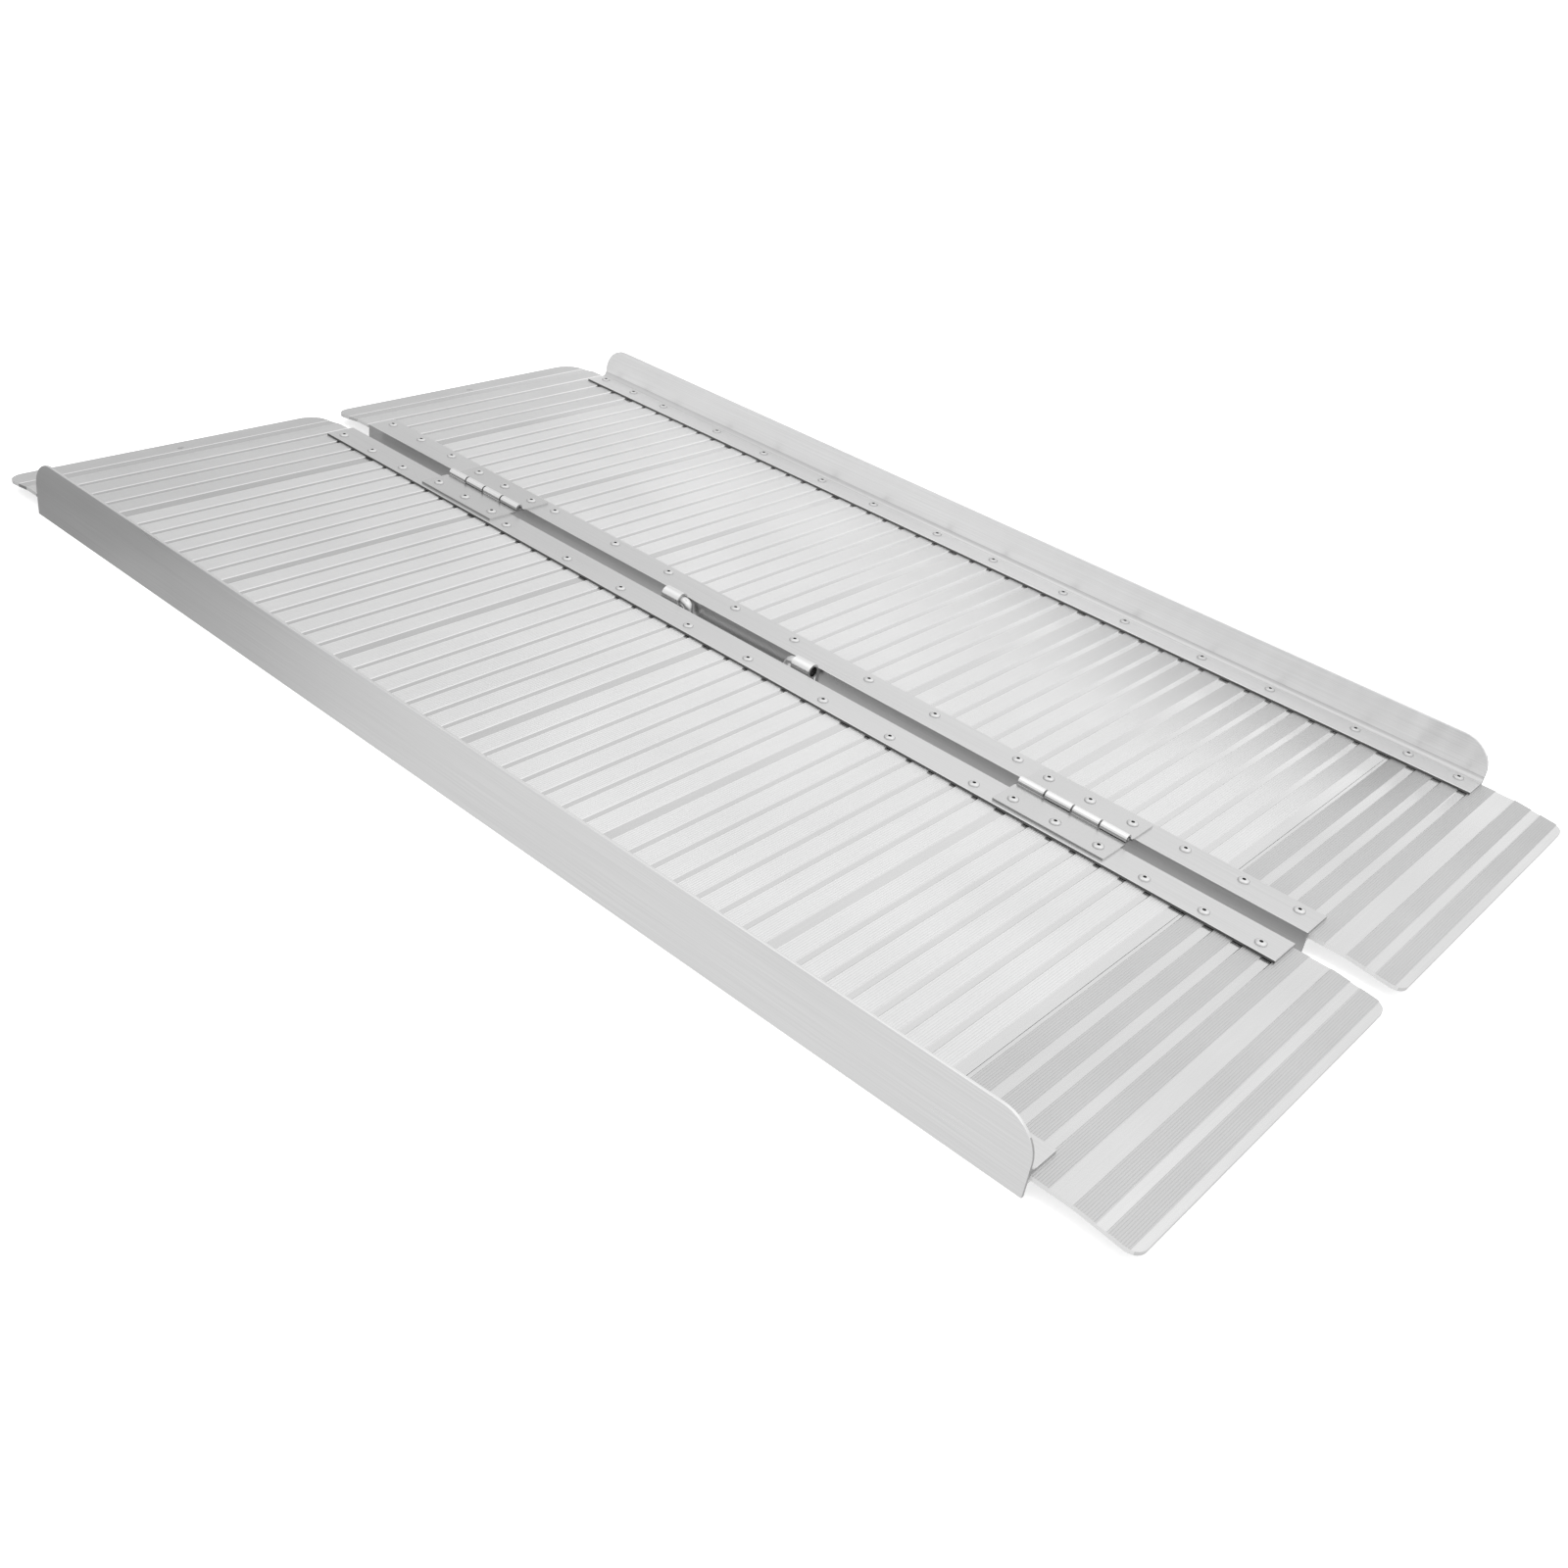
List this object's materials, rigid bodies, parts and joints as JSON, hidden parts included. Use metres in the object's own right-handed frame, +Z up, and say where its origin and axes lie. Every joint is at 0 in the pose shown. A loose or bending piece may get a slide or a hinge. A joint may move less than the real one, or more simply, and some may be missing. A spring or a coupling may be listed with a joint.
{
  "type": "folding loading ramp",
  "caption": "Folding loading ramp: two ribbed plank panels with raised curbs, joined by butt hinges along the middle, with a fold-out carry handle in the slot between them.",
  "frame": {"origin": "middle of the unfolded ramp's bounding box, on the ground under the rails", "axes": "+X along the ramp from the vehicle lip to the ground lip, +Y across it towards the right-hand panel, +Z up; the hinge pins run along X"},
  "size_m": [1.22, 0.698, 0.054],
  "materials": {
    "deck": "mill, ribbed",
    "rail": "mill",
    "rivet": "satin",
    "plated_steel": "bright zinc plated",
    "steel_rod": "bright zinc plated"
  },
  "bodies": {
    "right_panel": {"right_plank_1": "deck", "right_plank_2": "deck", "right_plank_3": "deck", "right_plank_4": "deck", "right_plank_5": "deck", "right_plank_6": "deck", "right_vehicle_lip": "deck", "right_ground_lip": "deck", "right_outer_rail": "rail", "right_inner_rail": "rail", "right_outer_rail_rivets": "rivet", "right_inner_rail_rivets": "rivet", "vehicle_end_hinge_right_rivets": "rivet", "ground_end_hinge_right_rivets": "rivet", "handle_bracket_rivets": "rivet", "vehicle_end_hinge_right_leaf": "plated_steel", "ground_end_hinge_right_leaf": "plated_steel", "handle_bracket_vehicle_side": "plated_steel", "handle_bracket_ground_side": "plated_steel", "vehicle_end_hinge_pin": "steel_rod", "ground_end_hinge_pin": "steel_rod"},
    "left_panel": {"left_plank_1": "deck", "left_plank_2": "deck", "left_plank_3": "deck", "left_plank_4": "deck", "left_plank_5": "deck", "left_plank_6": "deck", "left_vehicle_lip": "deck", "left_ground_lip": "deck", "left_outer_rail": "rail", "left_inner_rail": "rail", "left_outer_rail_rivets": "rivet", "left_inner_rail_rivets": "rivet", "vehicle_end_hinge_left_rivets": "rivet", "ground_end_hinge_left_rivets": "rivet", "vehicle_end_hinge_left_leaf": "plated_steel", "ground_end_hinge_left_leaf": "plated_steel"},
    "handle": {"carry_handle": "steel_rod"}
  },
  "joints": [
    {"name": "fold", "type": "hinge", "parent": "right_panel", "child": "left_panel", "pos_m": [-0.005, 0, 0.0227], "axis": [-1, 0, 0], "range_deg": [0, 169.4]},
    {"name": "handle_turn", "type": "hinge", "parent": "right_panel", "child": "handle", "pos_m": [-0.0145, 0.0031, 0.017], "axis": [-1, 0, 0], "range_deg": [0, 90.1]}
  ],
  "couplings": [
    {"joint": "handle_turn", "follows": "fold", "ratio": 0.5312}
  ]
}
